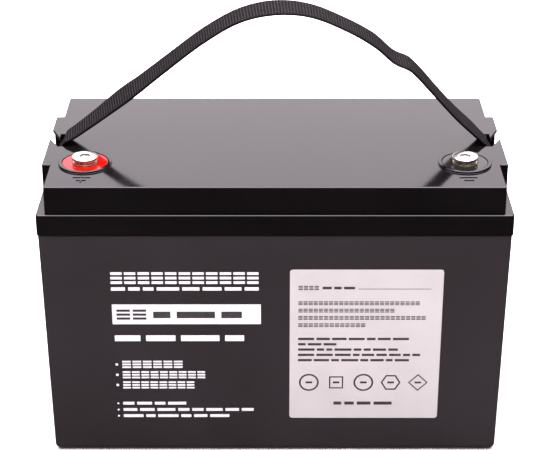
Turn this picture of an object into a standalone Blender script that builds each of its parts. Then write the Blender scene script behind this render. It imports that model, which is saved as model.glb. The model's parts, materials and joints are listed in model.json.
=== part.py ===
"""Deep cycle battery: a 12 V lithium block with a webbing carry strap and two bolted terminals.

The frame has X along the length, -Y towards the labelled front and Z up. The origin is the centre
of the base. Sizes are written in millimetres and turned into metres by MM where meshes are made.
"""
import math

import bmesh
import bpy
import numpy as np
from mathutils import Matrix, Vector

MM = 0.001
GAP = 0.3                    # clearance between neighbouring pieces
MERGE = 0.00001              # metres
FLAT_ANGLE = 0.01            # radians, below which two faces count as one

# Case and lid
RIM_HALF = (165.0, 86.0)     # outside of the lid's skirt, the widest part
RIM_LOW, RIM_TOP = 177.4, 193.2
RIM_ROUND = 1.6
LID_TOP = 213.5
BLOCK_HALF = (158.7, 83.9)   # raised part of the lid
WING_HALF_X = 164.5          # raised part at its wide middle
WING_FRONT, WING_BACK = -45.1, 45.6
LID_ROUND = 1.1
LID_PLATE = 2.5
SKIRT_INNER_HALF = (163.2, 84.4)
CASE_TOP = RIM_LOW - GAP
CASE_TOP_HALF = (164.4, 85.6)
CASE_BASE_HALF = (162.1, 83.5)
CASE_WALL = 2.8
CASE_BASE_ROUND, CASE_CORNER_ROUND = 5.0, 3.0
TONGUE_HALF = (162.9, 84.1)
TONGUE_THICK = 1.0
TONGUE_TOP = 189.0
SEALANT_TOP = RIM_TOP - LID_PLATE - GAP

# Terminals
TERMINAL_X, TERMINAL_Y = 133.9, -42.5
BOSS_RADIUS, BOSS_INNER_RADIUS, BOSS_TOP = 18.8, 16.3, 214.95
NECK_RADIUS, NECK_LOW = 13.0, 203.5
INSERT_RADIUS, INSERT_LOW, INSERT_TOP = 8.8, 200.0, 214.65
INSERT_STUD_LONG = 10.0
THREAD_RADIUS, THREAD_BORE_RADIUS, THREAD_BORE_LOW = 3.9, 4.15, 201.0
RING_GROOVE_Z, RING_TUBE_RADIUS, RING_RADIUS = 208.0, 0.7, 8.2
RING_GROOVE_ROOM = 0.4
DISC_TOP = 214.6
WASHER_RADIUS, WASHER_THICK = 8.3, 0.7
SPRING_RADIUS, SPRING_INNER_RADIUS, SPRING_THICK = 7.4, 4.5, 1.3
SPRING_SPLIT = 1.4
HEAD_RADIUS, HEAD_HIGH, HEAD_ROUND = 9.2, 2.0, 0.5
SOCKET_ACROSS_FLATS, SOCKET_DEEP = 7.0, 1.5
BOLT_LONG = 15.0
STACK_GAP = 0.25
NUT_ACROSS_FLATS, NUT_HIGH = 10.0, 5.0

# Strap
STRAP_WIDE, STRAP_THICK = 27.5, 1.6
STRAP_END_WIDE = 22.5        # folded end, which passes through the slot
STRAP_AXIS_Z = 229.5
STRAP_LOWEST = 216.0
# The middle line of the strap: x, z and the tilt of its width in degrees, back edge up.
STRAP_ROUTE = [
    (-151.5, 216, 3), (-145, 219.8, 6), (-130, 230.2, 5), (-115, 243.6, 5), (-97, 256.9, 8),
    (-75, 274.7, 8), (-50, 293.9, 7), (-25, 308.1, 5), (0, 313.7, 4.5), (25, 311.4, 2.5), (50, 301.5, 2),
    (70, 289.5, 3.5), (84, 279.4, 3), (94, 271.9, 3.3), (105, 262.5, 3.7), (117, 249, 3),
    (130, 234.7, 3.5), (142, 223.4, 5), (149.5, 216, 4),
]
SLOT_INNER_X, SLOT_OUTER_X, SLOT_HALF_Y = 150.0, 157.2, 11.8
POCKET_INNER_X, POCKET_HALF_Y, POCKET_LOW = 147.0, 30.0, 197.0
# The slanted cut that lets the strap slide into its slot from outside: x and y at the right end.
ENTRY_CUT = [(156.9, -11.5), (166.5, 6.6), (166.5, 25.8), (156.9, 3.1)]
BAR_X, BAR_Z, BAR_RADIUS, BAR_HALF_Y = 153.5, 205.8, 3.0, 15.0

# Label: its centre and half size along X and up the front wall
LABEL_CENTRE = (64.4, 89.8)
LABEL_HALF = (53.9, 61.3)
LABEL_THICK, LABEL_ROUND, LABEL_GAP = 0.2, 1.8, 0.15

# Cells and what holds them
CELL_SIZE = (49.6, 159.0, 115.0)
CELL_PITCH = 51.0
CELL_LOW = 7.4
CELL_TERMINAL_Y = 52.0
CELL_TERMINAL_RADIUS, CELL_TERMINAL_HIGH = 9.0, 2.5
STUD_RADIUS, STUD_HIGH = 3.0, 8.0
END_PLATE_THICK = 3.0
BAND_THICK, BAND_HIGH = 0.5, 16.0
BUSBAR_THICK, BUSBAR_WIDE, BUSBAR_HUMP = 2.0, 20.0, 4.0

# Battery management board
TRAY_SIZE = (124.0, 84.0, 2.5)
TRAY_CENTRE = (0.0, 12.0)
TRAY_LOW = 136.0
POST_RADIUS = 4.0
BOARD_SIZE = (116.0, 70.0, 1.6)
BOARD_LOW = 143.5
SCREW_X, SCREW_Y = 52.0, 25.0
HEATSINK_SIZE = (92.0, 40.0, 10.0)

CABLE_RADIUS = 3.2
LUG_THICK = 2.0

CELL_TOP = CELL_LOW + CELL_SIZE[2]
PACK_HALF_X = 1.5 * CELL_PITCH + CELL_SIZE[0] / 2
PLATE_OUTER_X = PACK_HALF_X + GAP + END_PLATE_THICK
TERMINAL_FACE = CELL_TOP + CELL_TERMINAL_HIGH


# ---------------------------------------------------------------- scene and materials

def fresh_collection(name):
    home = bpy.data.collections.new(name)
    bpy.context.scene.collection.children.link(home)
    return home


for old in list(bpy.data.objects):
    bpy.data.objects.remove(old, do_unlink=True)
PARTS = fresh_collection("deep_cycle_battery")
CUTTERS = fresh_collection("cutters")


def make_material(name, color, roughness, metallic=0.0):
    made = bpy.data.materials.new(name)
    made.use_nodes = True
    shader = made.node_tree.nodes["Principled BSDF"]
    shader.inputs["Base Color"].default_value = (*color, 1.0)
    shader.inputs["Roughness"].default_value = roughness
    shader.inputs["Metallic"].default_value = metallic
    return made


CASE_PLASTIC = make_material("case_plastic", (0.035, 0.032, 0.033), 0.38)
LID_PLASTIC = make_material("lid_plastic", (0.015, 0.014, 0.014), 0.12)
RED_PLASTIC = make_material("red_plastic", (0.72, 0.02, 0.01), 0.25)
BLACK_PLASTIC = make_material("black_plastic", (0.02, 0.02, 0.02), 0.3)
WEBBING = make_material("webbing", (0.02, 0.02, 0.02), 0.8)
STEEL = make_material("bolt_steel", (0.8, 0.8, 0.8), 0.2, 1.0)
BRASS = make_material("brass", (0.75, 0.6, 0.3), 0.3, 1.0)
COPPER = make_material("copper", (0.8, 0.45, 0.3), 0.3, 1.0)
RUBBER = make_material("rubber", (0.03, 0.03, 0.03), 0.7)
LABEL_PAPER = make_material("label_paper", (0.62, 0.58, 0.59), 0.5)
CELL_FILM = make_material("cell_film", (0.06, 0.22, 0.5), 0.35)
FOAM = make_material("foam", (0.08, 0.08, 0.08), 0.9)
GLASS_EPOXY = make_material("glass_epoxy", (0.02, 0.18, 0.08), 0.4)
ALUMINIUM = make_material("aluminium", (0.8, 0.8, 0.82), 0.35, 1.0)
CABLE_RED = make_material("cable_red", (0.6, 0.03, 0.02), 0.45)
CABLE_BLACK = make_material("cable_black", (0.02, 0.02, 0.02), 0.45)
SEALANT = make_material("sealant", (0.25, 0.25, 0.25), 0.6)


# ---------------------------------------------------------------- modelling helpers

def place(name, data, home, material=None, centre=(0, 0, 0)):
    made = bpy.data.objects.new(name, data)
    home.objects.link(made)
    made.location = Vector(centre) * MM
    if material:
        data.materials.append(material)
    if home is CUTTERS:
        made.hide_render = True
        made.display_type = "WIRE"
    return made


def mesh_from(name, shape):
    mesh = bpy.data.meshes.new(name)
    shape.to_mesh(mesh)
    shape.free()
    return mesh


def bevel(target, width, segments=2, limit="ANGLE"):
    rounding = target.modifiers.new("Rounding", "BEVEL")
    rounding.width = width * MM
    rounding.segments = segments
    rounding.limit_method = limit
    rounding.angle_limit = math.radians(40)
    rounding.use_clamp_overlap = True
    return rounding


def block(name, low, high, home, material=None, rounding=0.0, segments=2):
    """A box between two corners."""
    low, high = Vector(low), Vector(high)
    shape = bmesh.new()
    bmesh.ops.create_cube(shape, size=1)
    bmesh.ops.scale(shape, vec=(high - low) * MM, verts=shape.verts)
    made = place(name, mesh_from(name, shape), home, material, (low + high) / 2)
    if rounding:
        bevel(made, rounding, segments)
    return made


def cylinder(name, radius, centre, low, high, home, material=None, sides=32, turn=0.0):
    """An upright cylinder, or a prism when it has few sides."""
    shape = bmesh.new()
    bmesh.ops.create_cone(
        shape, cap_ends=True, segments=sides, radius1=radius * MM, radius2=radius * MM,
        depth=(high - low) * MM, matrix=Matrix.Rotation(turn, 4, "Z"),
    )
    return place(name, mesh_from(name, shape), home, material, (*centre, (low + high) / 2))


def turned(name, profile, centre, home, material=None, steps=32, closed=False):
    """A profile of (radius, z) points, outer side from top to bottom, turned round a vertical axis."""
    shape = bmesh.new()
    points = [shape.verts.new((radius * MM, 0, z * MM)) for radius, z in profile]
    for first, second in zip(points, points[1:]):
        shape.edges.new((first, second))
    if closed:
        shape.edges.new((points[-1], points[0]))
    made = place(name, mesh_from(name, shape), home, material, centre)
    screw = made.modifiers.new("Turn", "SCREW")
    screw.steps = steps
    screw.render_steps = steps
    screw.use_merge_vertices = True
    screw.merge_threshold = MERGE
    screw.use_smooth_shade = True
    return made


def solid_mesh(curve_object):
    """Turns a curve object into a welded mesh object of the same name."""
    name = curve_object.name
    curve_object.name = name + "_curve"
    graph = bpy.context.evaluated_depsgraph_get()
    mesh = bpy.data.meshes.new_from_object(curve_object.evaluated_get(graph))
    mesh.name = name
    shape = bmesh.new()
    shape.from_mesh(mesh)
    bmesh.ops.remove_doubles(shape, verts=shape.verts, dist=MERGE)
    bmesh.ops.recalc_face_normals(shape, faces=shape.faces)
    bmesh.ops.dissolve_limit(shape, angle_limit=FLAT_ANGLE, verts=shape.verts, edges=shape.edges)
    shape.to_mesh(mesh)
    shape.free()
    made = bpy.data.objects.new(name, mesh)
    for home in curve_object.users_collection:
        home.objects.link(made)
    made.matrix_world = curve_object.matrix_world.copy()
    made.hide_render = curve_object.hide_render
    made.display_type = curve_object.display_type
    bpy.data.objects.remove(curve_object, do_unlink=True)
    return made


def prism(name, outlines, low, high, home, material=None, along="Z"):
    """Flat outlines, the first outside and the rest holes, extruded along Z or along Y.

    Along Y the outline's points are x and z.
    """
    curve = bpy.data.curves.new(name, "CURVE")
    curve.dimensions = "2D"
    curve.fill_mode = "BOTH"
    curve.extrude = (high - low) / 2 * MM
    curve.resolution_u = 1
    curve.render_resolution_u = 0
    for outline in outlines:
        spline = curve.splines.new("POLY")
        spline.points.add(len(outline) - 1)
        for point, (u, v) in zip(spline.points, outline):
            point.co = (u * MM, v * MM, 0, 1)
        spline.use_cyclic_u = True
    middle = (low + high) / 2
    made = place(name, curve, home, material, (0, 0, middle) if along == "Z" else (0, middle, 0))
    if along == "Y":
        made.rotation_euler = (math.pi / 2, 0, 0)
    bpy.context.view_layer.update()
    return solid_mesh(made)


def lofted(name, sections, home, material=None):
    """A solid through outlines of the same number of points, each with its height, bottom to top."""
    shape = bmesh.new()
    rings = [[shape.verts.new((x * MM, y * MM, z * MM)) for x, y in outline] for outline, z in sections]
    for low_ring, high_ring in zip(rings, rings[1:]):
        for index in range(len(low_ring)):
            following = (index + 1) % len(low_ring)
            shape.faces.new((low_ring[index], low_ring[following], high_ring[following], high_ring[index]))
    shape.faces.new(rings[0][::-1])
    shape.faces.new(rings[-1])
    return place(name, mesh_from(name, shape), home, material)


def tube(name, points, radius, home, material=None):
    """A round cable along a smooth curve through the points."""
    curve = bpy.data.curves.new(name, "CURVE")
    curve.dimensions = "3D"
    curve.bevel_depth = radius * MM
    curve.bevel_resolution = 2
    curve.use_fill_caps = True
    curve.resolution_u = 1
    curve.render_resolution_u = 0
    route = smooth_route(points, 3)
    spline = curve.splines.new("POLY")
    spline.points.add(len(route) - 1)
    for point, place_mm in zip(spline.points, route):
        point.co = (*(place_mm * MM), 1)
    return place(name, curve, home, material)


def smooth_route(points, steps):
    """Points on a Catmull-Rom curve through the given ones, steps to each stretch."""
    given = np.array(points, float)
    padded = np.vstack([2 * given[0] - given[1], given, 2 * given[-1] - given[-2]])
    route = []
    for a, b, c, d in zip(padded, padded[1:], padded[2:], padded[3:]):
        for t in np.arange(steps) / steps:
            route.append(0.5 * (2 * b + (c - a) * t + (2 * a - 5 * b + 4 * c - d) * t ** 2
                                + (3 * b - a - 3 * c + d) * t ** 3))
    route.append(given[-1])
    return np.array(route)


def rounded_rectangle(half, radius, steps=3):
    """Outline points of a rectangle about the origin with round corners."""
    points = []
    for quarter, (sx, sy) in enumerate([(1, 1), (-1, 1), (-1, -1), (1, -1)]):
        for step in range(steps + 1):
            angle = math.radians(90 * (quarter + step / steps))
            points.append((sx * (half[0] - radius) + radius * math.cos(angle),
                           sy * (half[1] - radius) + radius * math.sin(angle)))
    return points


def wall_ring(name, outer_half, thick, radius, low, high, home, material=None):
    """A thin wall that follows a rounded rectangle."""
    inner_half = (outer_half[0] - thick, outer_half[1] - thick)
    inner = rounded_rectangle(inner_half, max(radius - thick, 0.3))
    return prism(name, [rounded_rectangle(outer_half, radius), inner], low, high, home, material)


def combine(target, other, operation):
    """Cuts target with another object, or joins that object to it."""
    step = target.modifiers.new(operation.title(), "BOOLEAN")
    step.operation = operation
    step.solver = "EXACT"
    step.object = other


def cut(target, *cutters):
    for cutter in cutters:
        combine(target, cutter, "DIFFERENCE")


def join(target, *others):
    for other in others:
        combine(target, other, "UNION")


def mirrored(points, side):
    """Outline points as they are on the right, or reflected to the left end."""
    return [(side * x, y) for x, y in points][::side]


def span(side, inner, outer):
    """Low and high X of a stretch given by its distances from the middle."""
    return sorted((side * inner, side * outer))


SIDES = {"left": -1, "right": 1}
POLES = {"positive": -1, "negative": 1}


# ---------------------------------------------------------------- case and lid

def tapered_tub(name, low_half, high_half, height, material):
    """The open case: drafted walls, round corners and a rounder bottom edge."""
    shape = bmesh.new()
    bmesh.ops.create_cube(shape, size=2)
    weight = shape.edges.layers.float.new("bevel_weight_edge")
    for vert in shape.verts:
        half = high_half if vert.co.z > 0 else low_half
        vert.co = Vector((vert.co.x * half[0], vert.co.y * half[1], (vert.co.z + 1) / 2 * height)) * MM
    for edge in shape.edges:
        first, second = (vert.co.z for vert in edge.verts)
        if first != second:
            edge[weight] = CASE_CORNER_ROUND / CASE_BASE_ROUND
        elif first < height * MM / 2:
            edge[weight] = 1.0
    lid_side = [face for face in shape.faces if face.normal.z > 0.9]
    bmesh.ops.delete(shape, geom=lid_side, context="FACES_ONLY")
    tub = place(name, mesh_from(name, shape), PARTS, material)
    bevel(tub, CASE_BASE_ROUND, 4, "WEIGHT")
    shell = tub.modifiers.new("Wall", "SOLIDIFY")
    shell.thickness = CASE_WALL * MM
    shell.offset = -1
    shell.use_even_offset = True
    return tub


def build_case():
    case = tapered_tub("case_body", CASE_BASE_HALF, CASE_TOP_HALF, CASE_TOP, CASE_PLASTIC)
    tongue = wall_ring("tongue", TONGUE_HALF, TONGUE_THICK, 1.8, CASE_TOP - 6, TONGUE_TOP, CUTTERS)
    join(case, tongue)
    wall_ring("lid_sealant", TONGUE_HALF, TONGUE_THICK, 1.8, TONGUE_TOP + GAP, SEALANT_TOP,
              PARTS, SEALANT)


def raised_outline(inset=0.0):
    """The raised part of the lid: a rectangle that is wider across its middle."""
    x, y = BLOCK_HALF[0] - inset, BLOCK_HALF[1] - inset
    wing = WING_HALF_X - inset
    front, back = WING_FRONT + inset, WING_BACK - inset
    return [(-x, -y), (x, -y), (x, front), (wing, front), (wing, back), (x, back),
            (x, y), (-x, y), (-x, back), (-wing, back), (-wing, front), (-x, front)]


def raised_sections():
    """Outlines up the raised block, drawing in along an arc where the top edge is rounded."""
    sections = [(raised_outline(), RIM_TOP - 2)]
    for angle in (0, math.pi / 4, math.pi / 2):
        inset = LID_ROUND * (1 - math.cos(angle))
        sections.append((raised_outline(inset), LID_TOP - LID_ROUND * (1 - math.sin(angle))))
    return sections


def lid_hollow():
    """The space under the lid, kept clear of the two strap pockets."""
    under = LID_TOP - LID_PLATE
    half = (BLOCK_HALF[0] - LID_PLATE, BLOCK_HALF[1] - LID_PLATE)
    hollow = block("lid_hollow", (-half[0], -half[1], RIM_LOW), (half[0], half[1], under), CUTTERS)
    for label, side in SIDES.items():
        low_x, high_x = span(side, POCKET_INNER_X - LID_PLATE, WING_HALF_X + 5)
        reach = POCKET_HALF_Y + LID_PLATE
        cut(hollow, block(f"pocket_housing_{label}", (low_x, -reach, POCKET_LOW - LID_PLATE),
                          (high_x, reach, LID_TOP + 5), CUTTERS))
    for label, side in POLES.items():
        cut(hollow, cylinder(f"neck_{label}", NECK_RADIUS, (side * TERMINAL_X, TERMINAL_Y),
                             NECK_LOW, LID_TOP, CUTTERS))
    return hollow


def build_lid():
    lid = block("case_lid", (-RIM_HALF[0], -RIM_HALF[1], RIM_LOW), (*RIM_HALF, RIM_TOP),
                PARTS, LID_PLASTIC, RIM_ROUND)
    join(lid, lofted("raised_block", raised_sections(), CUTTERS))
    for label, side in POLES.items():
        centre = (side * TERMINAL_X, TERMINAL_Y)
        boss = cylinder(f"boss_{label}", BOSS_RADIUS, centre, LID_TOP - 1, BOSS_TOP, CUTTERS, None, 48)
        bevel(boss, 0.5)
        join(lid, boss)
    ledge_low = RIM_TOP - LID_PLATE
    cut(lid, block("skirt_space", (-SKIRT_INNER_HALF[0], -SKIRT_INNER_HALF[1], RIM_LOW - 5),
                   (*SKIRT_INNER_HALF, ledge_low), CUTTERS))
    cut(lid, lid_hollow())
    for label, side in SIDES.items():
        low_x, high_x = span(side, POCKET_INNER_X, WING_HALF_X + 3)
        cut(lid, block(f"pocket_{label}", (low_x, -POCKET_HALF_Y, POCKET_LOW),
                       (high_x, POCKET_HALF_Y, LID_TOP - LID_PLATE), CUTTERS))
        low_x, high_x = span(side, SLOT_INNER_X, SLOT_OUTER_X)
        cut(lid, block(f"slot_{label}", (low_x, -SLOT_HALF_Y, LID_TOP - 4),
                       (high_x, SLOT_HALF_Y, LID_TOP + 2), CUTTERS))
        cut(lid, prism(f"entry_cut_{label}", [mirrored(ENTRY_CUT, side)],
                       LID_TOP - 4.2, LID_TOP + 2.2, CUTTERS))
    for label, side in POLES.items():
        centre = (side * TERMINAL_X, TERMINAL_Y)
        cut(lid, cylinder(f"recess_{label}", BOSS_INNER_RADIUS, centre, LID_TOP, BOSS_TOP + 2,
                          CUTTERS, None, 48))
        cut(lid, cylinder(f"insert_bore_{label}", INSERT_RADIUS + GAP, centre, NECK_LOW - 2,
                          BOSS_TOP, CUTTERS))


# ---------------------------------------------------------------- terminals

def ring_profile(inner, outer, low, high):
    return [(outer, high), (outer, low), (inner, low), (inner, high)]


def build_insert(label, centre):
    """Brass terminal: a threaded blind bore from above, a stud below and a groove for the ring seal."""
    groove_low = RING_GROOVE_Z - RING_TUBE_RADIUS - RING_GROOVE_ROOM
    groove_high = RING_GROOVE_Z + RING_TUBE_RADIUS + RING_GROOVE_ROOM
    groove_radius = RING_RADIUS - RING_TUBE_RADIUS - GAP
    profile = [
        (THREAD_BORE_RADIUS, INSERT_TOP), (INSERT_RADIUS, INSERT_TOP), (INSERT_RADIUS, groove_high),
        (groove_radius, groove_high), (groove_radius, groove_low), (INSERT_RADIUS, groove_low),
        (INSERT_RADIUS, INSERT_LOW), (STUD_RADIUS, INSERT_LOW),
        (STUD_RADIUS, INSERT_LOW - INSERT_STUD_LONG), (0, INSERT_LOW - INSERT_STUD_LONG),
    ]
    bore = [(0, THREAD_BORE_LOW), (THREAD_BORE_RADIUS, THREAD_BORE_LOW)]
    turned(f"terminal_insert_{label}", bore + profile, (*centre, 0), PARTS, BRASS, 24)


def build_ring_seal(label, centre):
    circle = [math.radians(-60 * step) for step in range(6)]
    profile = [(RING_RADIUS + RING_TUBE_RADIUS * math.cos(angle),
                RING_GROOVE_Z + RING_TUBE_RADIUS * math.sin(angle)) for angle in circle]
    turned(f"terminal_oring_{label}", profile, (*centre, 0), PARTS, RUBBER, 24, True)


def build_bolt_stack(label, centre):
    """Flat washer, split spring washer and round-headed bolt with a hexagon socket."""
    washer_low = INSERT_TOP + STACK_GAP
    washer_high = washer_low + WASHER_THICK
    spring_low = washer_high + STACK_GAP
    spring_high = spring_low + SPRING_THICK
    head_low = spring_high + STACK_GAP
    head_high = head_low + HEAD_HIGH
    turned(f"flat_washer_{label}", ring_profile(SPRING_INNER_RADIUS, WASHER_RADIUS, washer_low, washer_high),
           (*centre, 0), PARTS, STEEL, 24, True)
    spring = turned(f"spring_washer_{label}",
                    ring_profile(SPRING_INNER_RADIUS, SPRING_RADIUS, spring_low, spring_high),
                    (*centre, 0), PARTS, STEEL, 24, True)
    x, y = centre
    cut(spring, block(f"spring_split_{label}", (x - SPRING_SPLIT / 2, y - SPRING_RADIUS - 2, spring_low - 1),
                      (x + SPRING_SPLIT / 2, y - 2, spring_high + 1), CUTTERS))
    shank = (THREAD_RADIUS, head_low), (THREAD_RADIUS, head_low - BOLT_LONG), (0, head_low - BOLT_LONG)
    head = [(0, head_high), (HEAD_RADIUS - HEAD_ROUND, head_high), (HEAD_RADIUS, head_high - HEAD_ROUND),
            (HEAD_RADIUS, head_low + 0.3), (HEAD_RADIUS - 0.3, head_low)]
    bolt = turned(f"terminal_bolt_{label}", [*head, *shank], (0, 0, 0), PARTS, STEEL, 36)
    bolt.location = Vector((x, y, 0)) * MM
    socket_radius = SOCKET_ACROSS_FLATS / 2 / math.cos(math.pi / 6)
    cut(bolt, cylinder(f"socket_{label}", socket_radius, centre, head_high - SOCKET_DEEP, head_high + 1,
                       CUTTERS, None, 6, math.pi / 6))


def hex_nut(name, centre, low):
    """A steel nut on a terminal stud."""
    high = low + NUT_HIGH
    corner_radius = NUT_ACROSS_FLATS / 2 / math.cos(math.pi / 6)
    nut = cylinder(name, corner_radius, centre, low, high, PARTS, STEEL, 6)
    cut(nut, cylinder(name + "_bore", STUD_RADIUS + GAP, centre, low - 1, high + 1, CUTTERS, None, 20))


def build_terminals():
    for label, side in POLES.items():
        centre = (side * TERMINAL_X, TERMINAL_Y)
        plastic = RED_PLASTIC if label == "positive" else BLACK_PLASTIC
        turned(f"terminal_disc_{label}",
               ring_profile(INSERT_RADIUS + GAP, BOSS_INNER_RADIUS - GAP, LID_TOP + GAP, DISC_TOP),
               (*centre, 0), PARTS, plastic, 32, True)
        build_insert(label, centre)
        build_ring_seal(label, centre)
        build_bolt_stack(label, centre)
        hex_nut(f"terminal_nut_{label}", centre, INSERT_LOW - LUG_THICK - 2 * GAP - NUT_HIGH)


# ---------------------------------------------------------------- strap

def strap_half_width(z):
    """Half the strap's width, rounded in below the swing axis so that it clears the lid."""
    drop = max(STRAP_AXIS_Z - z, 0)
    return min(STRAP_WIDE / 2, math.sqrt(max((STRAP_WIDE / 2) ** 2 - drop ** 2, 1.5)))


def build_strap():
    """The webbing arch, a ribbon along the route whose origin is on the swing axis."""
    route = smooth_route(STRAP_ROUTE, 3)
    across = 2
    shape = bmesh.new()
    bmesh.ops.create_grid(shape, x_segments=len(route) - 1, y_segments=across, size=1)
    for vert in shape.verts:
        x, z, tilt = route[round((vert.co.x + 1) / 2 * (len(route) - 1))]
        reach = vert.co.y * strap_half_width(z)
        angle = math.radians(tilt)
        vert.co = Vector((x, reach * math.cos(angle), z + reach * math.sin(angle) - STRAP_AXIS_Z)) * MM
    strap = place("carry_strap", mesh_from("carry_strap", shape), PARTS, WEBBING, (0, 0, STRAP_AXIS_Z))
    body = strap.modifiers.new("Thickness", "SOLIDIFY")
    body.thickness = STRAP_THICK * MM
    body.offset = 0


def loop_outline(side):
    """The webbing's end seen from the front: a tail of two layers that opens round the bar."""
    outer = BAR_RADIUS + GAP + STRAP_THICK
    half_tail = STRAP_THICK
    start = math.asin(half_tail / outer)
    points = [(half_tail, STRAP_LOWEST - 1 - BAR_Z)]
    steps = 14
    for step in range(steps + 1):
        angle = math.pi / 2 - start - (2 * math.pi - 2 * start) * step / steps
        points.append((outer * math.cos(angle), outer * math.sin(angle)))
    points.append((-half_tail, STRAP_LOWEST - 1 - BAR_Z))
    return [(side * BAR_X + x, BAR_Z + z) for x, z in points]


def build_strap_ends():
    eye_radius = BAR_RADIUS + GAP
    for label, side in SIDES.items():
        eye = [(side * BAR_X + eye_radius * math.cos(math.radians(30 * step)),
                BAR_Z + eye_radius * math.sin(math.radians(30 * step))) for step in range(12)]
        prism(f"strap_end_{label}", [loop_outline(side), eye], -STRAP_END_WIDE / 2, STRAP_END_WIDE / 2,
              PARTS, WEBBING, "Y")
        bar = cylinder(f"strap_bar_{label}", BAR_RADIUS, (0, 0), -BAR_HALF_Y, BAR_HALF_Y,
                       PARTS, BLACK_PLASTIC, 16)
        bar.rotation_euler = (math.pi / 2, 0, 0)
        bar.location = Vector((side * BAR_X, 0, BAR_Z)) * MM
        bevel(bar, 0.5)


# ---------------------------------------------------------------- label

def build_label():
    """The sheet label on the front wall, which leans outward with the wall's draft."""
    draft = math.atan((CASE_TOP_HALF[1] - CASE_BASE_HALF[1]) / CASE_TOP)
    outline = rounded_rectangle(LABEL_HALF, LABEL_ROUND)
    label = prism("front_label", [outline], 0, LABEL_THICK, PARTS, LABEL_PAPER)
    wall_y = CASE_BASE_HALF[1] + math.tan(draft) * LABEL_CENTRE[1]
    label.rotation_euler = (math.pi / 2 + draft, 0, 0)
    stand_off = LABEL_GAP + LABEL_THICK / 2
    label.location = Vector((LABEL_CENTRE[0], -wall_y - stand_off, LABEL_CENTRE[1])) * MM


# ---------------------------------------------------------------- cells

def cell_x(index):
    return (index - 1.5) * CELL_PITCH


def build_cells():
    half_x, half_y = CELL_SIZE[0] / 2, CELL_SIZE[1] / 2
    for index in range(4):
        x = cell_x(index)
        cell = block(f"cell_{index + 1}", (x - half_x, -half_y, CELL_LOW), (x + half_x, half_y, CELL_TOP),
                     PARTS, CELL_FILM, 2.0, 1)
        for label, y in (("front", -CELL_TERMINAL_Y), ("back", CELL_TERMINAL_Y)):
            join(cell, cylinder(f"pole_{label}_{index}", CELL_TERMINAL_RADIUS, (x, y), CELL_TOP - 2,
                                TERMINAL_FACE, CUTTERS, None, 20))
        if index in (0, 3):
            join(cell, cylinder(f"stud_{index}", STUD_RADIUS, (x, -CELL_TERMINAL_Y), TERMINAL_FACE - 2,
                                TERMINAL_FACE + STUD_HIGH, CUTTERS, None, 16))
    for index in range(3):
        x = cell_x(index) + CELL_PITCH / 2
        block(f"cell_spacer_{index + 1}", (x - 0.4, -half_y + 3, CELL_LOW + 2),
              (x + 0.4, half_y - 3, CELL_TOP - 3), PARTS, FOAM)
    for label, side in SIDES.items():
        low_x, high_x = span(side, PACK_HALF_X + GAP, PLATE_OUTER_X)
        block(f"end_plate_{label}", (low_x, -half_y, CELL_LOW), (high_x, half_y, CELL_TOP),
              PARTS, GLASS_EPOXY, 1.0, 1)
        low_x, high_x = span(side, PLATE_OUTER_X + 2, CASE_BASE_HALF[0] - CASE_WALL - 1)
        block(f"end_foam_{label}", (low_x, -half_y + 1, CASE_WALL + GAP),
              (high_x, half_y - 1, CELL_TOP - 4), PARTS, FOAM, 3.0, 1)
    for label, low in (("lower", CELL_LOW + 22), ("upper", CELL_TOP - 22 - BAND_HIGH)):
        outer = (PLATE_OUTER_X + GAP + BAND_THICK, half_y + GAP + BAND_THICK)
        wall_ring(f"pack_band_{label}", outer, BAND_THICK, 1.2, low, low + BAND_HIGH, PARTS, STEEL)
    block("base_pad", (-PACK_HALF_X, -half_y + 4, CASE_WALL + GAP),
          (PACK_HALF_X, half_y - 4, CELL_LOW - GAP), PARTS, FOAM)


def build_busbars():
    """Three plates with a raised middle join the cells in series, at the back, front and back."""
    low = TERMINAL_FACE + GAP
    reach = CELL_PITCH / 2 + CELL_TERMINAL_RADIUS
    for index, row in enumerate((1, -1, 1)):
        x = cell_x(index) + CELL_PITCH / 2
        under = [(-reach, 0), (-10, 0), (-6, BUSBAR_HUMP), (6, BUSBAR_HUMP), (10, 0), (reach, 0)]
        over = [(u, v + BUSBAR_THICK) for u, v in reversed(under)]
        outline = [(x + u, low + v) for u, v in under + over]
        y = row * CELL_TERMINAL_Y
        prism(f"busbar_{index + 1}", [outline], y - BUSBAR_WIDE / 2, y + BUSBAR_WIDE / 2,
              PARTS, COPPER, "Y")
    for label, index in (("positive", 0), ("negative", 3)):
        hex_nut(f"cell_nut_{label}", (cell_x(index), -CELL_TERMINAL_Y), low + LUG_THICK + GAP)


# ---------------------------------------------------------------- management board

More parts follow.
